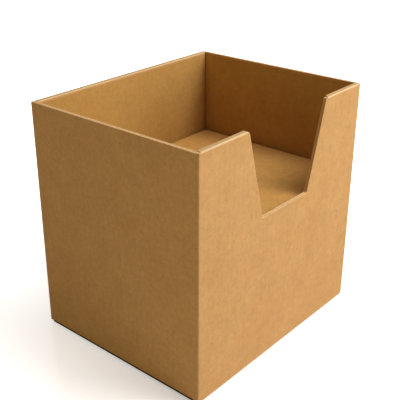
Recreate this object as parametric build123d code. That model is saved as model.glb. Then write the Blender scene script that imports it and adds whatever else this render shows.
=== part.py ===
from build123d import *
import os

# Open-topped display bin of single-wall corrugated board, with a raised shelf inside.
# Frame: origin on the floor under the middle of the bin, +X to the right of the front,
# the front face on -Y, +Z up.

# Driving dimensions, in millimetres
width = 300.0              # outside, across the front
depth = 245.0              # outside, front to back
height = 293.0             # outside, floor to the top of the rolled edges
board = 3.8                # thickness of the corrugated board
fold_inside = 0.4          # inside radius of a creased fold
lap_gap = 0.3              # air between two layers that lie on each other

# Pick-out notch in the front wall
notch_top_width = 144.4    # between the two ears, at the very top
notch_sill_width = 86.6    # along the lower edge
sill_height = 186.2        # lower edge above the floor
sill_corner = 2.0          # inside corners at the ends of the lower edge
ear_corner = 2.8           # rounded top corner of each ear

# Rolled edges: the board turns over the top and hangs inside as a liner
roll_crease = 2.4          # rounding of the two creases of a rolled edge
raw_drop = 0.8             # raw wall tops lie this much under the rolled edges
liner_side_gap = 2.4       # between a liner's edge and the right wall, or the glued flap
left_ear_side_gap = 1.0    # the same at the left wall, where the ear's liner fits closer
liner_tuck = 40.0          # a liner's tail, held behind the shelf's skirt
liner_chamfer = 9.0        # cut corners of a liner's tail
roll_join = 0.4            # width over which a roll's end runs on into the wall beside it
left_ear_flush = 0.4       # how far the left roll's face runs past the notch's top corner
left_ear_taper = 1.8       # how far the left roll's liner stops short of the notch
right_ear_bare = 3.2       # raw edge left bare between the notch and the right roll
right_ear_taper = 5.8      # slant of that end of the right roll
rear_roll_inset = 1.6      # the rear roll starts this far inside the glued corner's fold

# Glued joint of the blank, inside the rear left corner
joint_flap = 35.0          # length of the flap glued to the left wall
joint_slant = 12.0         # how much its two ends are cut away
joint_set_back = 0.5       # left wall's raw edge, short of the back face

# Bottom flaps: the front and back pair lies on the floor, the side pair on top of it
seam_gap = 1.5             # between the two long flaps, along the middle of the base
root_gap = 0.6             # between the root of a side flap and the long flaps
step_flat = 1.0            # level run of a side flap before it steps up
step_run = 9.0             # run of that step
step_bend = 4.0            # radius of the two bends of the step
end_gap = 1.5              # between a long flap's end and the step
side_flap = 114.0          # length of a side flap from its wall
flap_corner = 10.0         # cut corners of a side flap's free edge

# Shelf: one folded sheet, a panel on four skirts that stand on the side flaps
shelf_height = 182.0       # top of the panel above the floor
shelf_gap = 0.8            # between the shelf and what stands round it

# Sizes that follow from them
half_board = board / 2
fold_middle = fold_inside + half_board
fold_outside = fold_inside + board
lap = board + lap_gap                      # one layer and the air beside it
roll_depth = board + lap                   # both layers of a rolled wall
front = -depth / 2
back = depth / 2
left = -width / 2
right = width / 2
wall_top = height - raw_drop
liner_bottom = shelf_height - liner_tuck
flap_top = board + lap                     # upper face of the side flaps
reach = 10.0 * board                       # how far a cutting shape runs past the board


# Section of one run of board along its middle line, with its folds.
def folded(*points, bends=fold_middle):
    return trace(FilletPolyline(*points, radius=bends), line_width=board)


# Carry a section drawn in (y, z) from one x to another.
def run_along_x(section, x_start, x_end):
    return extrude(Plane.YZ.offset(x_start) * section, amount=x_end - x_start)


# Carry a section drawn in (x, z) from one y to another.
def run_along_y(section, y_start, y_end):
    return extrude(Plane.XZ.offset(-y_start) * section, amount=y_start - y_end)


# Carry an outline drawn in (x, y) from one height to another.
def upright(plan, z_start, z_end):
    return extrude(Plane.XY.offset(z_start) * plan, amount=z_end - z_start)


# Closed flat shape through these points.
def outline(*points):
    return make_face(Polyline(*points, close=True))


# Four walls and the glued flap: one strip of board wrapped round the plan.
def wall_tube():
    flap_x = left + lap + half_board
    strip = folded(
        (left + half_board, back - joint_set_back),
        (left + half_board, front + half_board),
        (right - half_board, front + half_board),
        (right - half_board, back - half_board),
        (flap_x, back - half_board),
        (flap_x, back - half_board - joint_flap),
    )
    return upright(strip, fold_outside, wall_top)


# What is cut off the glued flap above and below its slanted ends.
def joint_flap_waste():
    root = back - fold_outside
    tip = back - half_board - joint_flap - board
    top = wall_top - board
    foot = flap_top + lap_gap
    upper = outline((root, top), (root, wall_top + board), (tip, wall_top + board),
                    (tip, top - joint_slant))
    lower = outline((root, foot), (root, 0.0), (tip, 0.0), (tip, foot + joint_slant))
    inner_face = left + board + lap_gap
    return run_along_x(upper + lower, inner_face - lap_gap / 2, inner_face + 2 * board)


# Board turned over a wall's top and down inside it, cut to its plan outline.
# inward is +1 for the front wall and -1 for the back wall.
# near and far are the x ends of the part that hangs down.
def rolled_edge(outer_ends, inner_ends, near, far, y_outer, inward):
    over = Pos(y_outer + inward * roll_depth / 2, height - half_board)
    hang = Pos(y_outer + inward * (roll_depth - half_board), (height + liner_bottom) / 2)
    section = over * Rectangle(roll_depth, board)
    section += hang * Rectangle(board, height - liner_bottom)
    creases = section.vertices().group_by(Axis.Y)[-1]
    section = fillet(creases, roll_crease)
    plan = roll_plan(y_outer, inward, outer_ends, inner_ends)
    under_roll = height - board
    tail_side = liner_bottom + liner_chamfer
    elevation = outline((left, height), (right, height), (right, under_roll),
                        (far, under_roll), (far, tail_side),
                        (far - liner_chamfer, liner_bottom),
                        (near + liner_chamfer, liner_bottom), (near, tail_side),
                        (near, under_roll), (left, under_roll))
    roll = run_along_x(section, left, right) & upright(plan, 0.0, height)
    return roll & run_along_y(elevation, y_outer - reach, y_outer + reach)


# Plan of a rolled edge: its x ends on the wall's face and on the liner's face.
def roll_plan(y_outer, inward, outer_ends, inner_ends):
    y_inner = y_outer + inward * roll_depth
    return outline((outer_ends[0], y_outer), (outer_ends[1], y_outer),
                   (inner_ends[1], y_inner), (inner_ends[0], y_inner))


# The three rolls, each with the x span of wall top that it covers.
def rolled_edges():
    notch = notch_top_width / 2
    liner_right = right - board - liner_side_gap
    corner_right = right - fold_outside

    ear_start = left + board + left_ear_side_gap
    ear_end = -notch - left_ear_taper
    left_ear = rolled_edge((left + fold_outside, -notch + left_ear_flush),
                           (ear_start, ear_end), ear_start, ear_end, front, 1)

    ear_start = notch + right_ear_bare
    ear_end = ear_start + right_ear_taper
    right_ear = rolled_edge((ear_start, corner_right), (ear_end, liner_right),
                            ear_end, liner_right, front, 1)

    rear_start = left + lap + rear_roll_inset
    beside_flap = left + lap + board + liner_side_gap
    rear = rolled_edge((rear_start, corner_right), (rear_start, liner_right),
                       beside_flap, liner_right, back, -1)

    return [(left_ear, front, 1, (left + fold_outside + roll_join, 0.0)),
            (right_ear, front, 1, (ear_start + roll_join, corner_right - roll_join)),
            (rear, back, -1, (rear_start + roll_join, corner_right - roll_join))]


# Strip of the outer layer that gives way to the roll above it.
def covered_wall_top(y_outer, inward, span):
    strip = Pos(y_outer + inward * half_board, height) * Rectangle(board, 2 * board)
    return run_along_x(strip, *span)


# Notch outline: sloping sides, rounded lower corners and rounded ear tops.
def notch_cutter():
    half_top = notch_top_width / 2
    half_sill = notch_sill_width / 2
    above = height + reach
    notch = outline((-half_sill, sill_height), (half_sill, sill_height), (half_top, height),
                    (width, height), (width, above), (-width, above), (-width, height),
                    (-half_top, height))
    for level, radius in ((0, sill_corner), (-1, ear_corner)):
        corners = notch.vertices().filter_by(lambda vertex: abs(vertex.X) < right)
        notch = fillet(corners.group_by(Axis.Y)[level], radius)
    return run_along_y(notch, front - reach, front + reach)


# Flap folded in from the front or back wall, flat on the floor.
def long_flap(y_outer, inward):
    y_wall = y_outer + inward * half_board
    y_free = -inward * seam_gap / 2
    section = folded((y_wall, fold_outside + board), (y_wall, half_board),
                     (y_free, half_board))
    root_left = left + fold_outside
    if inward < 0:
        root_left += lap
    root_right = right - fold_outside
    end = right - fold_outside - step_flat - step_run - end_gap
    y_root = y_outer + inward * fold_outside
    plan = outline((root_left, y_outer), (root_right, y_outer), (root_right, y_root),
                   (end, y_root), (end, y_free), (-end, y_free), (-end, y_root),
                   (root_left, y_root))
    return run_along_x(section, left, right) & upright(plan, 0.0, height)


# Flap folded in from a side wall, stepping up onto the two long flaps.
def side_flap_of(x_outer, inward):
    x_wall = x_outer + inward * half_board
    x_flat = x_outer + inward * (fold_outside + step_flat)
    x_up = x_flat + inward * step_run
    section = folded((x_wall, fold_outside + board), (x_wall, half_board),
                     (x_flat, half_board), (x_up, half_board + lap),
                     (x_outer + inward * side_flap, half_board + lap),
                     bends=[fold_middle, step_bend, step_bend])
    half_length = depth / 2 - fold_outside - root_gap
    flap = run_along_y(section, -half_length, half_length)
    free = flap.edges().filter_by(Axis.Z).group_by(Axis.X)[-1 if inward > 0 else 0]
    return chamfer(free, flap_corner)


# The whole bin: one folded and glued sheet.
def bin_body():
    notch = notch_cutter()
    body = wall_tube() - joint_flap_waste() - notch
    for roll, y_outer, inward, covered in rolled_edges():
        body -= covered_wall_top(y_outer, inward, covered)
        body += roll - notch
    body += [long_flap(front, 1), long_flap(back, -1)]
    body += [side_flap_of(left, 1), side_flap_of(right, -1)]
    return body


# Raised shelf: a panel and four skirts folded from one sheet.
def shelf():
    x_left = left + lap + board + shelf_gap
    x_right = right - board - shelf_gap
    y_front = front + roll_depth + shelf_gap
    y_back = back - roll_depth - shelf_gap
    z_panel = shelf_height - half_board
    across = folded((x_left + half_board, flap_top), (x_left + half_board, z_panel),
                    (x_right - half_board, z_panel), (x_right - half_board, flap_top))
    along = folded((y_front + half_board, flap_top), (y_front + half_board, z_panel),
                   (y_back - half_board, z_panel), (y_back - half_board, flap_top))
    panel = run_along_y(across, y_front + fold_outside, y_back - fold_outside)
    panel += run_along_x(along, x_left + fold_outside, x_right - fold_outside)
    return panel


os.makedirs("parts", exist_ok=True)
for name, make in (("bin_body", bin_body), ("shelf", shelf)):
    export_step(make(), f"parts/{name}.step")
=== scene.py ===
import math
import bpy
import numpy as np
from mathutils import Euler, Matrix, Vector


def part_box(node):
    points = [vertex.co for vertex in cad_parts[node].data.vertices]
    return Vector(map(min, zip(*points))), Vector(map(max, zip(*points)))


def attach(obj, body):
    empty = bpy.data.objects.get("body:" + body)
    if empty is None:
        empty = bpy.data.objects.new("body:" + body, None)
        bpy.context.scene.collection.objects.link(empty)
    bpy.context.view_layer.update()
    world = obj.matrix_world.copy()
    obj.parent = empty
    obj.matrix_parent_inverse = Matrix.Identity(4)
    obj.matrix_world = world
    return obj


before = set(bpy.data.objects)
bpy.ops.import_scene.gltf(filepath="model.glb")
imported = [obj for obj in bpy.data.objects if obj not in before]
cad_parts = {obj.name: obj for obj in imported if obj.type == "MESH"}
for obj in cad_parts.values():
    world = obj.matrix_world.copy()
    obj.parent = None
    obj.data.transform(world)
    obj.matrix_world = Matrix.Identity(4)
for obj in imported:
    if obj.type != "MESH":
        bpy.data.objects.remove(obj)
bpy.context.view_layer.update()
mm = 0.001
wide, deep, tall = [float(v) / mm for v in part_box("bin_body")[1]]    # half, half and whole


# An sRGB hex colour as the linear numbers that Blender's sockets take.
def linearColour(hexText):
    parts = [int(hexText[i:i + 2], 16) / 255 for i in (1, 3, 5)]
    linear = [c / 12.92 if c <= 0.04045 else ((c + 0.055) / 1.055) ** 2.4 for c in parts]
    return (*linear, 1.0)


# Adds a node, sets its options, and fills its inputs with values or links.
def addNode(tree, kind, inputs=None, **options):
    made = tree.nodes.new("ShaderNode" + kind)
    for name, value in options.items():
        setattr(made, name, value)
    for name, value in (inputs or {}).items():
        if isinstance(value, bpy.types.NodeSocket):
            tree.links.new(value, made.inputs[name])
        else:
            made.inputs[name].default_value = value
    return made


# An empty material with its tree and its output node.
def newMaterial(name):
    material = bpy.data.materials.new(name)
    material.use_nodes = True
    material.node_tree.nodes.clear()
    return material, material.node_tree, addNode(material.node_tree, "OutputMaterial")


# Camera, at the photograph's viewing angle, in a 400 x 400 picture
cameraLook = {
    "place": (-0.64402, -0.53951, 0.54946),     # metres
    "turn": (65.1535, 0.3479, -48.6807),        # degrees
    "lens": 68.0,                               # mm, on a sensor 36 mm wide
    "shift": (0.0429, -0.0099),
}


# The camera at its place and turn, with its picture shifted off the lens's middle.
def makeCamera(look):
    data = bpy.data.cameras.new("camera")
    data.lens = look["lens"]
    data.sensor_width = 36.0
    data.shift_x, data.shift_y = look["shift"]
    camera = bpy.data.objects.new("camera", data)
    camera.location = look["place"]
    camera.rotation_euler = Euler([math.radians(a) for a in look["turn"]], "XYZ")
    bpy.context.scene.collection.objects.link(camera)
    bpy.context.scene.camera = camera


makeCamera(cameraLook)
print("camera made")

# Studio: two big soft lights from the right of the front, a soft top light and a small warm
# fill from the left, round a white glossy table
studioLook = {
    "lights": {                                 # place in metres, size, watts, colour
        "keyLight": ((0.60, -0.78, 1.74), 1.0, 19.2, "#FFFFFF"),
        "frontLight": ((0.58, -1.68, 0.70), 1.0, 18.2, "#FFFFFF"),
        "topLight": ((0.0, -0.07, 2.04), 1.6, 8.1, "#FFFFFF"),
        "fillLight": ((-1.6, -0.4, 0.42), 0.6, 3.7, "#FFE791"),
    },
    "aim": (0.0, 0.0, 0.14),
    "ambient": 0.037,
    "tableSpan": 6.0,                           # metres, to each side
    "tableColour": "#F4F1ED",
    "tableGloss": 0.16,                         # roughness of its polish
    "tableLift": (0.50, 0.58),                  # camera only: at the bin, and what distance adds
    "tableFar": 0.43,                           # metres over which the lift grows
    "leanSpan": (-0.16, 0.14),                  # metres, from before the bin to behind it
    "liftLean": (0.75, 1.26),                   # share of the lift at those two places
    "liftNear": "#FFFCF8",
}


# A round soft light, turned by the yaw and the pitch of the line from it to the aim.
def makeLight(name, place, size, power, colour, aim):
    data = bpy.data.lights.new(name, "AREA")
    data.shape = "DISK"
    data.size = size
    data.energy = power
    data.color = linearColour(colour)[:3]
    light = bpy.data.objects.new(name, data)
    light.location = place
    toAim = np.array(aim) - np.array(place)
    yaw = math.atan2(toAim[1], toAim[0]) - math.pi / 2
    pitch = math.atan2(np.hypot(toAim[0], toAim[1]), -toAim[2])
    light.rotation_euler = Euler((pitch, 0.0, yaw), "XYZ")
    bpy.context.scene.collection.objects.link(light)


# The room: white to the camera and in reflections, dim to all other rays.
def makeWorld(look):
    world = bpy.data.worlds.new("whiteRoom")
    world.use_nodes = True
    tree = world.node_tree
    tree.nodes.clear()
    rays = addNode(tree, "LightPath")
    seen = addNode(tree, "Math", {0: rays.outputs["Is Camera Ray"],
                                  1: rays.outputs["Is Glossy Ray"]}, operation="MAXIMUM")
    room = addNode(tree, "Background", {"Color": (1, 1, 1, 1), "Strength": look["ambient"]})
    white = addNode(tree, "Background", {"Color": (1, 1, 1, 1), "Strength": 1.0})
    mixed = addNode(tree, "MixShader", {0: seen.outputs[0], 1: room.outputs[0],
                                        2: white.outputs[0]})
    addNode(tree, "OutputWorld", {"Surface": mixed.outputs[0]})
    bpy.context.scene.world = world


# Polished white acrylic table: matt white under a clear gloss that mirrors faintly. To the
# camera alone it is lifted towards white, by an amount that grows with the distance from
# the bin's plan and leans from front to back, so the shadow stays near the bin.
def makeTable(look):
    material, tree, output = newMaterial("acrylic_polished")
    rays = addNode(tree, "LightPath")
    place = addNode(tree, "TexCoord").outputs["Object"]
    away = addNode(tree, "VectorMath", {0: place}, operation="ABSOLUTE")
    away = addNode(tree, "VectorMath", {0: away.outputs[0], 1: (wide * mm, deep * mm, 0)},
                   operation="SUBTRACT")
    away = addNode(tree, "VectorMath", {0: away.outputs[0], 1: (0, 0, 0)}, operation="MAXIMUM")
    away = addNode(tree, "VectorMath", {0: away.outputs[0]}, operation="LENGTH")
    far = addNode(tree, "MapRange", {"Value": away.outputs["Value"],
                                     "From Max": look["tableFar"]})
    lift = addNode(tree, "Math", {0: far.outputs[0], 1: look["tableLift"][1],
                                  2: look["tableLift"][0]}, operation="MULTIPLY_ADD")
    lean = addNode(tree, "SeparateXYZ", {0: place})
    lean = addNode(tree, "MapRange", {"Value": lean.outputs["Y"],
                                      "From Min": look["leanSpan"][0],
                                      "From Max": look["leanSpan"][1],
                                      "To Min": look["liftLean"][0],
                                      "To Max": look["liftLean"][1]})
    shown = rays.outputs["Is Camera Ray"]
    for share in (lean, lift):
        shown = addNode(tree, "Math", {0: shown, 1: share.outputs[0]},
                        operation="MULTIPLY").outputs[0]
    tint = addNode(tree, "Mix", {"Factor": far.outputs[0], "A": linearColour(look["liftNear"]),
                                 "B": (1, 1, 1, 1)}, data_type="RGBA")
    glow = addNode(tree, "Emission", {"Color": tint.outputs[2], "Strength": shown})
    gloss = addNode(tree, "BsdfPrincipled", {"Base Color": linearColour(look["tableColour"]),
                                             "Roughness": look["tableGloss"], "IOR": 1.49})
    both = addNode(tree, "AddShader", {0: gloss.outputs[0], 1: glow.outputs[0]})
    tree.links.new(both.outputs[0], output.inputs["Surface"])
    span = look["tableSpan"]
    under = -0.1 * mm                           # a hair under the bin's foot
    mesh = bpy.data.meshes.new("table")
    mesh.from_pydata([(-span, -span, under), (span, -span, under), (span, span, under),
                      (-span, span, under)], [], [(0, 1, 2, 3)])
    mesh.materials.append(material)
    table = bpy.data.objects.new("table", mesh)
    bpy.context.scene.collection.objects.link(table)


for lightName, (place, size, power, colour) in studioLook["lights"].items():
    makeLight(lightName, place, size, power, colour, studioLook["aim"])
makeWorld(studioLook)
makeTable(studioLook)
bpy.context.scene.view_settings.view_transform = "Standard"
print("studio made")

# Board: unbleached kraft liner on a fluted core, glued and pressed in the corrugator.
# The eye sees warm brown cloudy pulp, short curled fibres, stray dark flecks, and pale
# rubbed folds; the flutes barely show through the liner.
boardLook = {
    "kraft": "#C4945B",
    "kraftDark": "#AE7C44",
    "kraftPale": "#D8AE78",
    "kraftShare": 0.6,                          # the plain kraft's part in the mix
    "warmSwing": (0.35, 0.65),                  # from dark to pale kraft in the rest
    "fleck": "#5E3A1A",
    "fleckShare": 0.8,                          # how far a fleck covers the pulp
    "fleckPick": 0.72,                          # share of the cells that have none
    "fibrePale": "#DDBB88",
    "fibreDark": "#A0713D",
    "fibreShare": (0.16, 0.30),                 # how far the pale and dark fibres show
    # pale of rubbed folds, and of the painted highlight on the rolled tops
    "rubbedAndHighlit": "#EFCF9E",
    "sharpRub": 0.40,                           # paleness of a sharp fold
    "foldRub": 0.12,                            # of a rounded fold
    "ridge": (0.70, 0.88),                      # paleness, rubbed and painted highlight, of a roll's inner and outer ridge
    "plateau": 0.26,                            # and of the flat between them
    "raw": "#E2BC85",
    "inner": "#F3F4D4",                         # painted shade, darker and browner, inside the bin
    "foot": "#2A1A0C",                          # painted shade on the fold that the bin stands on
    "cloudMm": 24.0,                            # drifts of pulp
    "warmSpread": 0.7,                          # their size over that of the warm patches
    "mottleMm": 6.0,                            # blotches within them
    "grainMm": 1.7,                             # felt marks, coarser than real to show
    "pulpSwing": (0.040, 0.066, 0.06),          # how far those three swing the tone
    "fibreMm": 7.0,                             # spacing of the curled fibres
    "fleckEveryMm": 13.0,
    "flutePitchMm": 7.8,                        # C flute
    "ribDepthMm": 0.012,
    "ribSwing": 0.006,                          # how far the ribs swing the tone
    "feltDepthMm": 0.25,                        # height of the felt marks
    "feltStrength": 0.18,
    "creaseMm": 0.9,                            # how far a fold's rubbing reaches
    "creasePower": 4.0,                         # how tight a scored fold looks
    "creaseLean": 1.28,                         # how far a side wall's tone runs round it
    "rollMm": 3.4,                              # the rolled tops, down from the bin's top
    "rollEndsMm": 90.0,                         # half the span that holds their raw ends
    "insideMm": 2.0,                            # half a board in is the inside
    "footMm": (5.8, 4.4),                       # where the foot's painted shade begins and is full
    "footWideMm": 5.0,                          # how far it reaches under the left wall
    "roughness": 0.85,
    "sheen": 0.12,
}


# Curled fibres: thin contour lines of one noise, broken up by another.
def fibreMask(tree, place, sizeMm, seed):
    noise = addNode(tree, "TexNoise", {"Vector": place, "W": seed, "Detail": 1.0,
                                       "Scale": 1 / (sizeMm * mm)}, noise_dimensions="4D")
    offLine = addNode(tree, "Math", {0: noise.outputs["Fac"], 1: 0.5}, operation="SUBTRACT")
    offLine = addNode(tree, "Math", {0: offLine.outputs[0]}, operation="ABSOLUTE")
    line = addNode(tree, "MapRange", {"Value": offLine.outputs[0], "From Min": 0.004,
                                      "From Max": 0.030, "To Min": 1.0, "To Max": 0.0})
    gaps = addNode(tree, "TexNoise", {"Vector": place, "W": seed + 5.0, "Detail": 1.0,
                                      "Scale": 2.2 / (sizeMm * mm)}, noise_dimensions="4D")
    kept = addNode(tree, "MapRange", {"Value": gaps.outputs["Fac"], "From Min": 0.50,
                                      "From Max": 0.62})
    return addNode(tree, "Math", {0: line.outputs[0], 1: kept.outputs[0]},
                   operation="MULTIPLY").outputs[0]


# Flecks: the middles of a few of the cells of a scattered pattern.
def fleckMask(tree, place, look):
    cells = addNode(tree, "TexVoronoi", {"Vector": place,
                                         "Scale": 1 / (look["fleckEveryMm"] * mm)})
    middle = addNode(tree, "MapRange", {"Value": cells.outputs["Distance"], "From Min": 0.030,
                                        "From Max": 0.060, "To Min": 1.0, "To Max": 0.0})
    pick = addNode(tree, "SeparateColor", {0: cells.outputs["Color"]})
    chosen = addNode(tree, "Math", {0: pick.outputs[0], 1: look["fleckPick"]},
                     operation="GREATER_THAN")
    return addNode(tree, "Math", {0: middle.outputs[0], 1: chosen.outputs[0]},
                   operation="MULTIPLY").outputs[0]


# One colour over another by a mask, and the mask times a strength.
def layColour(tree, under, over, mask, strength):
    share = addNode(tree, "Math", {0: mask, 1: strength}, operation="MULTIPLY")
    return addNode(tree, "Mix", {"Factor": share.outputs[0], "A": under, "B": over},
                   data_type="RGBA").outputs[2]


# Flutes: a sine of the distance across them. across names the coordinate that crosses them
# on the faces that look along X, and on the others.
def fluteRibs(tree, axes, slope, look, across):
    sideways = addNode(tree, "Math", {0: slope.outputs["X"]}, operation="ABSOLUTE")
    onX = addNode(tree, "Math", {0: sideways.outputs[0], 1: 0.7}, operation="GREATER_THAN")
    run = addNode(tree, "Mix", {"Factor": onX.outputs[0], "A": axes.outputs[across[1]],
                                "B": axes.outputs[across[0]]}, data_type="FLOAT")
    turns = 2 * math.pi / (look["flutePitchMm"] * mm)
    wave = addNode(tree, "Math", {0: run.outputs[0], 1: turns}, operation="MULTIPLY")
    return addNode(tree, "Math", {0: wave.outputs[0]}, operation="SINE").outputs[0]


# Pulp: the shade is a product of drifts, blotches, felt marks and ribs, each of them 1 give
# or take its swing. The colour is dark and pale kraft mixed by a slow noise, then mixed with
# plain kraft by its share, times the shade. The felt marks come back too, for the bump.
def pulpColour(tree, place, ribs, look):
    tones = []
    sizes = (look["cloudMm"], look["mottleMm"], look["grainMm"])
    for size, detail, swing in zip(sizes, (2.0, 3.0, 3.0), look["pulpSwing"]):
        felt = addNode(tree, "TexNoise", {"Vector": place, "Scale": 1 / (size * mm),
                                          "Detail": detail, "Roughness": 0.6}).outputs["Fac"]
        tones.append(addNode(tree, "MapRange", {"Value": felt, "From Min": 0.25,
                                                "From Max": 0.75, "To Min": 1 - swing,
                                                "To Max": 1 + swing}).outputs[0])
    tones.append(addNode(tree, "MapRange", {"Value": ribs, "From Min": -1.0,
                                            "To Min": 1 - look["ribSwing"],
                                            "To Max": 1 + look["ribSwing"]}).outputs[0])
    shade = tones[0]
    for tone in tones[1:]:
        shade = addNode(tree, "Math", {0: shade, 1: tone}, operation="MULTIPLY").outputs[0]
    warmth = addNode(tree, "TexNoise", {"Vector": place, "Detail": 5.0,
                                        "Scale": look["warmSpread"] / (look["cloudMm"] * mm)})
    warmth = addNode(tree, "MapRange", {"Value": warmth.outputs["Fac"], "From Min": 0.3,
                                        "From Max": 0.7, "To Min": look["warmSwing"][0],
                                        "To Max": look["warmSwing"][1]})
    colour = addNode(tree, "Mix", {"Factor": warmth.outputs[0],
                                   "A": linearColour(look["kraftDark"]),
                                   "B": linearColour(look["kraftPale"])}, data_type="RGBA")
    colour = addNode(tree, "Mix", {"Factor": look["kraftShare"], "A": colour.outputs[2],
                                   "B": linearColour(look["kraft"])}, data_type="RGBA")
    colour = addNode(tree, "VectorMath", {0: colour.outputs[2], "Scale": shade},
                     operation="SCALE")
    return colour.outputs[0], felt


# Rubbing of plain folds: sharp ones by how far a rounded normal leaves the face's own, and
# rounded ones by how far the normal's largest part falls short of 1.
def rubFolds(tree, colour, facing, low, look):
    rounded = addNode(tree, "Bevel", {"Radius": look["creaseMm"] * mm}, samples=6)
    agree = addNode(tree, "VectorMath", {0: rounded.outputs[0], 1: facing},
                    operation="DOT_PRODUCT")
    sharp = addNode(tree, "MapRange", {"Value": agree.outputs["Value"], "From Min": 0.995,
                                       "From Max": 0.86})
    colour = layColour(tree, colour, linearColour(look["rubbedAndHighlit"]), sharp.outputs[0],
                       look["sharpRub"])
    parts = addNode(tree, "VectorMath", {0: facing}, operation="ABSOLUTE")
    parts = addNode(tree, "SeparateXYZ", {0: parts.outputs[0]})
    largest = parts.outputs["X"]
    for axis in "YZ":
        largest = addNode(tree, "Math", {0: largest, 1: parts.outputs[axis]},
                          operation="MAXIMUM").outputs[0]
    plain = addNode(tree, "MapRange", {"Value": largest, "From Min": 0.95, "From Max": 0.75,
                                       "To Max": look["foldRub"]})
    return layColour(tree, colour, linearColour(look["rubbedAndHighlit"]), plain.outputs[0], low)


# Rubbed paleness and painted highlight on the rolled tops: it grows with the normal's rise, and is
# less on the ridge that looks into the bin and on the flat between the ridges.
def rubAndHighlightRolls(tree, colour, axes, slope, high, look):
    innerRidge, outerRidge = look["ridge"]
    rub = addNode(tree, "MapRange", {"Value": slope.outputs["Z"], "From Min": 0.15,
                                     "From Max": 0.80, "To Max": outerRidge})
    sideOfBin = addNode(tree, "Math", {0: axes.outputs["Y"]}, operation="SIGN")
    outward = addNode(tree, "Math", {0: slope.outputs["Y"], 1: sideOfBin.outputs[0]},
                      operation="MULTIPLY")
    inner = addNode(tree, "MapRange", {"Value": outward.outputs[0], "From Min": -0.08,
                                       "From Max": -0.30, "To Min": 1.0,
                                       "To Max": innerRidge / outerRidge})
    level = addNode(tree, "MapRange", {"Value": slope.outputs["Z"], "From Min": 0.93,
                                       "From Max": 0.99, "To Min": 1.0,
                                       "To Max": look["plateau"] / outerRidge})
    for part in (inner, level):
        rub = addNode(tree, "Math", {0: rub.outputs[0], 1: part.outputs[0]},
                      operation="MULTIPLY")
    return layColour(tree, colour, linearColour(look["rubbedAndHighlit"]), rub.outputs[0], high)


# Raw board at the rolls' ends beside the notch: faces up there that look along X.
def bareEnds(tree, colour, inset, slope, high, look):
    ends = addNode(tree, "Math", {0: slope.outputs["X"]}, operation="ABSOLUTE")
    ends = addNode(tree, "Math", {0: ends.outputs[0], 1: 0.6}, operation="GREATER_THAN")
    near = addNode(tree, "Math", {0: inset.outputs["X"], 1: look["rollEndsMm"] * mm},
                   operation="LESS_THAN")
    ends = addNode(tree, "Math", {0: ends.outputs[0], 1: near.outputs[0]},
                   operation="MULTIPLY")
    return layColour(tree, colour, linearColour(look["raw"]), ends.outputs[0], high)


# Painted shade on the fold under the left wall, deepening down to the floor.
def shadeFoot(tree, colour, axes, look):
    begins, full = look["footMm"]
    shaded = addNode(tree, "MapRange", {"Value": axes.outputs["Z"], "From Min": begins * mm,
                                        "From Max": full * mm})
    onLeft = addNode(tree, "Math", {0: axes.outputs["X"],
                                    1: (look["footWideMm"] - wide) * mm},
                     operation="LESS_THAN")
    return layColour(tree, colour, linearColour(look["foot"]), shaded.outputs[0],
                     onLeft.outputs[0])


# Painted shade inside the bin, darker and browner: all below the rolls that is half a board or
# more in from the outside.
def paintedShadeInside(tree, colour, inset, low, look):
    inside = low
    for axis, limit in (("X", wide), ("Y", deep)):
        part = addNode(tree, "Math", {0: inset.outputs[axis],
                                      1: (limit - look["insideMm"]) * mm},
                       operation="LESS_THAN")
        inside = addNode(tree, "Math", {0: inside, 1: part.outputs[0]},
                         operation="MULTIPLY").outputs[0]
    return addNode(tree, "Mix", {"Factor": inside, "A": colour,
                                 "B": linearColour(look["inner"])},
                   data_type="RGBA", blend_type="MULTIPLY").outputs[2]


# A scored fold is crushed to a tighter ridge than the solid's: its normals are pulled
# towards the nearest axis by a power of each of their parts.
def scoredNormal(tree, facing, look):
    signs = addNode(tree, "VectorMath", {0: facing}, operation="SIGN")
    parts = addNode(tree, "VectorMath", {0: facing}, operation="ABSOLUTE")
    parts = addNode(tree, "VectorMath", {0: parts.outputs[0], 1: (look["creaseLean"], 1, 1)},
                    operation="MULTIPLY")
    parts = addNode(tree, "VectorMath", {0: parts.outputs[0], 1: [look["creasePower"]] * 3},
                    operation="POWER")
    tight = addNode(tree, "VectorMath", {0: parts.outputs[0], 1: signs.outputs[0]},
                    operation="MULTIPLY")
    return addNode(tree, "VectorMath", {0: tight.outputs[0]},
                   operation="NORMALIZE").outputs[0]


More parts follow.
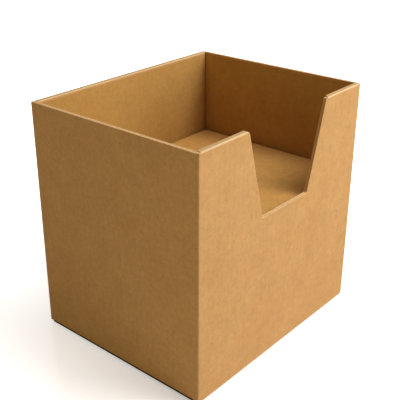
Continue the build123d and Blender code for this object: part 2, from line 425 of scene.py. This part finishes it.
# Kraft board: the pulp's colour with everything laid over it, and a normal with scored
# folds, faint ribs and felt marks. high is 1 on the rolled tops and low is 1 below them.
def makeKraft(name, look, across):
    material, tree, output = newMaterial(name)
    place = addNode(tree, "TexCoord").outputs["Object"]
    facing = addNode(tree, "NewGeometry").outputs["Normal"]
    axes = addNode(tree, "SeparateXYZ", {0: place})
    slope = addNode(tree, "SeparateXYZ", {0: facing})
    inset = addNode(tree, "VectorMath", {0: place}, operation="ABSOLUTE")
    inset = addNode(tree, "SeparateXYZ", {0: inset.outputs[0]})
    high = addNode(tree, "Math", {0: axes.outputs["Z"], 1: tall * mm - look["rollMm"] * mm},
                   operation="GREATER_THAN").outputs[0]
    low = addNode(tree, "Math", {0: 1.0, 1: high}, operation="SUBTRACT").outputs[0]

    ribs = fluteRibs(tree, axes, slope, look, across)
    colour, felt = pulpColour(tree, place, ribs, look)
    for fibre, seed, share in (("fibrePale", 1.0, look["fibreShare"][0]),
                               ("fibreDark", 9.0, look["fibreShare"][1])):
        mask = fibreMask(tree, place, look["fibreMm"], seed)
        colour = layColour(tree, colour, linearColour(look[fibre]), mask, share)
    colour = layColour(tree, colour, linearColour(look["fleck"]), fleckMask(tree, place, look),
                       look["fleckShare"])
    colour = rubFolds(tree, colour, facing, low, look)
    colour = rubAndHighlightRolls(tree, colour, axes, slope, high, look)
    colour = bareEnds(tree, colour, inset, slope, high, look)
    colour = shadeFoot(tree, colour, axes, look)
    colour = paintedShadeInside(tree, colour, inset, low, look)

    normal = scoredNormal(tree, facing, look)
    normal = addNode(tree, "Bump", {"Height": ribs, "Distance": look["ribDepthMm"] * mm,
                                    "Normal": normal}).outputs[0]
    normal = addNode(tree, "Bump", {"Height": felt, "Strength": look["feltStrength"],
                                    "Distance": look["feltDepthMm"] * mm,
                                    "Normal": normal}).outputs[0]
    paper = addNode(tree, "BsdfPrincipled", {"Base Color": colour, "Normal": normal,
                                             "Roughness": look["roughness"],
                                             "Specular IOR Level": look["sheen"]})
    tree.links.new(paper.outputs[0], output.inputs["Surface"])
    return material


# Puts one material on every slot of a CAD node.
def dressNode(name, material):
    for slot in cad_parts[name].material_slots:
        slot.material = material


# The shelf has a paler copy of the board's kraft, painted light, with less painted shade inside,
# and its flutes run the other way
shelfLook = {**boardLook, "kraft": "#D09D61", "kraftDark": "#B98449", "kraftPale": "#E5B980",
             "inner": "#FFF9DA"}
dressNode("bin_body", makeKraft("kraft_board_pressed", boardLook, ("Y", "X")))
dressNode("shelf", makeKraft("kraft_board_creased", shelfLook, ("Z", "X")))
print("board dressed")

# Cut edges: the die leaves a crushed section with both liners, the wavy medium between
# them and shallow cells beside it. The eye sees a paler fibrous line with faint waves.
cutLook = {
    "boardMm": 3.8,
    "outerFoldMm": 4.2,                         # outside radius of an upright fold
    "linerMm": 0.45,                            # crushed liner, as wide as it spreads
    "mediumMm": 0.34,                           # half-width of the medium's line
    "mediumRise": 0.85,                         # its height beside the liners'
    "pitchMm": 7.8,
    "waver": (0.35, 0.31),                      # how far and how fast the waves wander
    "still": 0.16,                              # where in a wave an upright cut falls
    "floorMm": 0.10,                            # height of the cells over the solid's raw face
    "reliefMm": 0.13,                           # height of liners and medium over the cells
    "sinkMm": 0.10,                             # how deep the strip sits in the board
    "rim": (0.99, 0.995),                       # its half-width, sunk and on top, over the board's
    "stepMm": 0.5,                              # between points along a cut
    "uprightStepMm": 2.0,                       # and along an upright one
    "acrossPoints": 19,
    "lip": "#F8CD97",
    # painted shade down in the cells
    "cellShade": "#DDB07A",
    "opened": "#B38A55",                        # painted shade in the flutes laid open by the slanting cuts
    "grainMm": 0.9,
    "grainSwing": (0.90, 1.08),                 # from dark to pale grain
    "grainStrength": 0.5,
    "grainDepthMm": 0.2,
    "roughness": 0.92,
    "sheen": 0.08,
}


# Points along straight runs and rounded corners: each run is cut into equal steps, and each
# corner is an arc that touches both runs. corners holds (x, y, radius).
def walkPath(corners, step, arcPoints=9):
    points = []
    for i, (x, y, radius) in enumerate(corners):
        here = np.array((x, y), float)
        if radius == 0 or i in (0, len(corners) - 1):
            points.append(here[None])
            continue
        back = np.array(corners[i - 1][:2], float) - here
        ahead = np.array(corners[i + 1][:2], float) - here
        back, ahead = back / np.linalg.norm(back), ahead / np.linalg.norm(ahead)
        half = math.acos(float(np.clip(back @ ahead, -1, 1))) / 2
        middle = (back + ahead) / np.linalg.norm(back + ahead)
        centre = here + middle * radius / math.sin(half)
        start = here + back * radius / math.tan(half) - centre
        sweep = math.pi - 2 * half
        if back[0] * ahead[1] - back[1] * ahead[0] > 0:
            sweep = -sweep
        turn = np.linspace(0, sweep, arcPoints)[:, None]
        arc = start * np.cos(turn) + np.array((-start[1], start[0])) * np.sin(turn)
        points.append(centre + arc)
    points = np.concatenate(points)
    run = np.r_[0, np.cumsum(np.linalg.norm(np.diff(points, axis=0), axis=1))]
    even = np.linspace(0, run[-1], max(int(run[-1] / step), 4))
    return np.column_stack([np.interp(even, run, points[:, k]) for k in (0, 1)])


# A crushed section carried along an edge. The section's height at (along, across) is the
# relief times the highest of three bumps: the two liners at the sides, and the medium, a
# narrow ridge about a sine of the distance across the flutes, wider where it leans. line,
# across and out are arrays of points, of unit vectors through the board, and of unit vectors
# out of the edge. hollow is 0 on the liners and 0.5 in the cells, and where a slanting cut
# has opened the flutes it runs from 0.75 to 1.
# hollow sets how much painted shade the cut material lays on.
def cutStrip(line, across, out, fluteRun, look, opened=0.0):
    half = look["boardMm"] / 2
    count = len(line)
    v = np.linspace(-half, half, look["acrossPoints"])[None, :]
    swing = half - look["linerMm"] - look["mediumMm"] * 0.5
    angle = 2 * math.pi * fluteRun[:, None] / look["pitchMm"]
    far, fast = look["waver"]
    wave = swing * np.sin(angle + far * np.sin(angle * fast))
    lean = swing * 2 * math.pi / look["pitchMm"] * np.cos(angle)
    medium = np.exp(-((v - wave) / look["mediumMm"]) ** 2 / (1 + 0.5 * lean ** 2))
    liner = np.exp(-((half - np.abs(v)) / look["linerMm"]) ** 4)
    relief = np.maximum(liner, look["mediumRise"] * medium)
    height = look["floorMm"] + look["reliefMm"] * relief
    sunkRim, topRim = look["rim"]
    side = np.full((count, 1), sunkRim * half)
    sunk = np.full((count, 1), -look["sinkMm"])
    v = np.hstack([-side, np.repeat(v, count, 0) * topRim, side])
    height = np.hstack([sunk, height, sunk])
    relief = np.hstack([np.ones((count, 1)), relief, np.ones((count, 1))])
    points = line[:, None] + across[:, None] * v[..., None] + out[:, None] * height[..., None]
    opened = np.broadcast_to(opened, count)[:, None]
    hollow = 0.5 * (1 - relief) * (1 - 0.5 * opened) + 0.75 * opened
    return points * mm, hollow


# Joins strips into one closed mesh: rings of points bridged along the edge, ends capped, and
# all turned over where the ring runs the wrong way round for its direction of travel.
def meshStrips(name, strips, material):
    vertices, faces, hollow, start = [], [], [], 0
    for points, depth in strips:
        count, ring = points.shape[:2]
        index = start + np.arange(count * ring).reshape(count, ring)
        following = np.roll(index, -1, axis=1)
        quads = np.stack([index[:-1], following[:-1], following[1:], index[1:]], -1)
        caps = [index[0], index[-1][::-1]]
        tangent = points[1, 0] - points[0, 0]
        through = points[0, -1] - points[0, 0]
        outward = points[0].mean(0) - (points[0, 0] + points[0, -1]) / 2
        if np.dot(np.cross(through, outward), tangent) > 0:
            quads = quads[..., ::-1]
            caps = [cap[::-1] for cap in caps]
        faces += quads.reshape(-1, 4).tolist() + [cap.tolist() for cap in caps]
        vertices.append(points.reshape(-1, 3))
        hollow.append(depth.reshape(-1))
        start += count * ring
    mesh = bpy.data.meshes.new(name)
    mesh.from_pydata(np.concatenate(vertices).tolist(), [], faces)
    mesh.attributes.new("hollow", "FLOAT", "POINT").data.foreach_set(
        "value", np.concatenate(hollow).astype(np.float32))
    mesh.materials.append(material)
    piece = bpy.data.objects.new(name, mesh)
    bpy.context.scene.collection.objects.link(piece)
    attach(piece, "root")
    return piece


# Torn pulp at a die-cut edge: paler and rougher than the liner, with painted shade down in the
# cells and deeper painted shade in the flutes that slanting cuts open.
def makeCutMaterial(look):
    material, tree, output = newMaterial("kraft_board_die_cut")
    place = addNode(tree, "TexCoord").outputs["Object"]
    hollow = addNode(tree, "Attribute", attribute_name="hollow").outputs["Fac"]
    grain = addNode(tree, "TexNoise", {"Vector": place, "Scale": 1 / (look["grainMm"] * mm),
                                       "Detail": 3.0}).outputs["Fac"]
    tone = addNode(tree, "MapRange", {"Value": grain, "From Min": 0.3, "From Max": 0.7,
                                      "To Min": look["grainSwing"][0],
                                      "To Max": look["grainSwing"][1]}).outputs[0]
    colour = linearColour(look["lip"])
    for fromMin, tint in ((0.0, "cellShade"), (0.5, "opened")):
        share = addNode(tree, "MapRange", {"Value": hollow, "From Min": fromMin,
                                           "From Max": fromMin + 0.5})
        colour = addNode(tree, "Mix", {"Factor": share.outputs[0], "A": colour,
                                       "B": linearColour(look[tint])},
                         data_type="RGBA").outputs[2]
    colour = addNode(tree, "VectorMath", {0: colour, "Scale": tone},
                     operation="SCALE").outputs[0]
    bump = addNode(tree, "Bump", {"Height": grain, "Strength": look["grainStrength"],
                                  "Distance": look["grainDepthMm"] * mm})
    pulp = addNode(tree, "BsdfPrincipled", {"Base Color": colour,
                                            "Roughness": look["roughness"],
                                            "Specular IOR Level": look["sheen"],
                                            "Normal": bump.outputs[0]})
    tree.links.new(pulp.outputs[0], output.inputs["Surface"])
    return material


# Unit vectors along a flat path, by central differences.
def headings(path):
    way = np.gradient(path, axis=0)
    return way / np.linalg.norm(way, axis=1, keepdims=True)


# The raw top of a wall: a path in plan at one height, the flutes counted along the path.
def topEdge(corners, z, look):
    path = walkPath(corners, look["stepMm"])
    way = headings(path)
    line = np.column_stack([path, np.full(len(path), z)])
    across = np.column_stack([way[:, 1], -way[:, 0], np.zeros(len(path))])
    out = np.tile((0.0, 0.0, 1.0), (len(path), 1))
    run = np.r_[0, np.cumsum(np.linalg.norm(np.diff(path, axis=0), axis=1))]
    return cutStrip(line, across, out, run, look)


# The notch's raw outline: a path in elevation, in the middle of the front board, the flutes
# counted along x. It has opened them where it rises by more than half of its length.
def notchEdge(corners, y, look):
    path = walkPath(corners, look["stepMm"])
    way = headings(path)
    line = np.column_stack([path[:, 0], np.full(len(path), y), path[:, 1]])
    out = np.column_stack([-way[:, 1], np.zeros(len(path)), way[:, 0]])
    across = np.tile((0.0, 1.0, 0.0), (len(path), 1))
    return cutStrip(line, across, out, path[:, 0], look, (np.abs(way[:, 1]) > 0.5) * 1.0)


# A raw edge that runs along the flutes: one place in the wave, carried straight up.
def uprightEdge(x, y, zLow, zHigh, across, out, look):
    z = np.linspace(zLow, zHigh, int((zHigh - zLow) / look["uprightStepMm"]) + 2)
    line = np.column_stack([np.full(len(z), x), np.full(len(z), y), z])
    still = np.full(len(z), look["pitchMm"] * look["still"])
    return cutStrip(line, np.tile(across, (len(z), 1)).astype(float),
                    np.tile(out, (len(z), 1)).astype(float), still, look)


# Where the cuts lie, in mm, as the solids have them
cutPlaces = {
    "rawDrop": 0.8,                             # raw wall tops, under the rolled ones
    "seam": 0.5,                                # left wall's raw end, short of the back
    "rollJoin": 0.4,                            # a roll's end, run on into the wall beside it
    "lapGap": 0.3,                              # air between two layers
    "linerSides": (152.0, 288.8),               # foot and top of the liners' raw sides
    "leftLiner": -74.0,                         # x of the left liner's side by the notch
    "rightLiner": 81.2,                         # x of the right liner's
    "crushOff": 0.9,                            # crushed pulp, out from a liner's middle
    "wallSide": -145.2,                         # x of the left liner's side by the wall
    "wallCrush": (152.0, 292.2, 0.7),           # foot, top and height of the pulp there
    "flapInset": 1.6,                           # rear roll's start, from the glued flap
    "flapCrush": (288.2, 292.6, 1.5),           # foot, top and height of the pulp there
    "notch": ((-71.17, 289.2, 0), (-43.3, 186.2, 2.0), (43.3, 186.2, 2.0),
              (71.98, 292.2, 1.6), (75.6, 292.2, 0)),       # x, z and radius of its corners
}


# Every cut that shows. A wall's middle is half a board in from its face, and a liner's is a
# board and a half and the air in.
def makeCutEdges(places, look):
    half = look["boardMm"] / 2
    fold = look["outerFoldMm"]
    bend = fold - half                          # radius of a fold's middle line
    rawTop = tall - places["rawDrop"]
    flapX = -wide + look["boardMm"] + places["lapGap"]
    linerY = -deep + 2 * look["boardMm"] + places["lapGap"] - half
    seam, join, off = places["seam"], places["rollJoin"], places["crushOff"]
    foot, top = places["linerSides"]
    wallFoot, wallTop, wallHeight = places["wallCrush"]
    flapFoot, flapTop, flapHeight = places["flapCrush"]
    left, right, back = (-1, 0, 0), (1, 0, 0), (0, 1, 0)
    material = makeCutMaterial(look)
    meshStrips("cut_edges_walls", [
        topEdge([(-wide + half, deep - seam, 0), (-wide + half, -deep + half, bend),
                 (-wide + fold + join, -deep + half, 0)], rawTop, look),
        topEdge([(wide - fold - join, -deep + half, 0), (wide - half, -deep + half, bend),
                 (wide - half, deep - half, bend), (wide - fold - join, deep - half, 0)],
                rawTop, look),
        uprightEdge(-wide + half, deep - seam, fold, rawTop, right, back, look),
        uprightEdge(places["leftLiner"], linerY, foot, top, back, right, look),
        uprightEdge(places["rightLiner"], linerY, foot, top, back, left, look),
        uprightEdge(places["wallSide"], linerY - off, wallFoot, wallTop, back, left,
                    {**look, "floorMm": wallHeight}),
        uprightEdge(flapX + places["flapInset"], off - linerY, flapFoot, flapTop, back, left,
                    {**look, "floorMm": flapHeight}),
    ], material)
    meshStrips("cut_edges_notch", [notchEdge(places["notch"], -deep + half, look)], material)


makeCutEdges(cutPlaces, cutLook)
print("cut edges made")
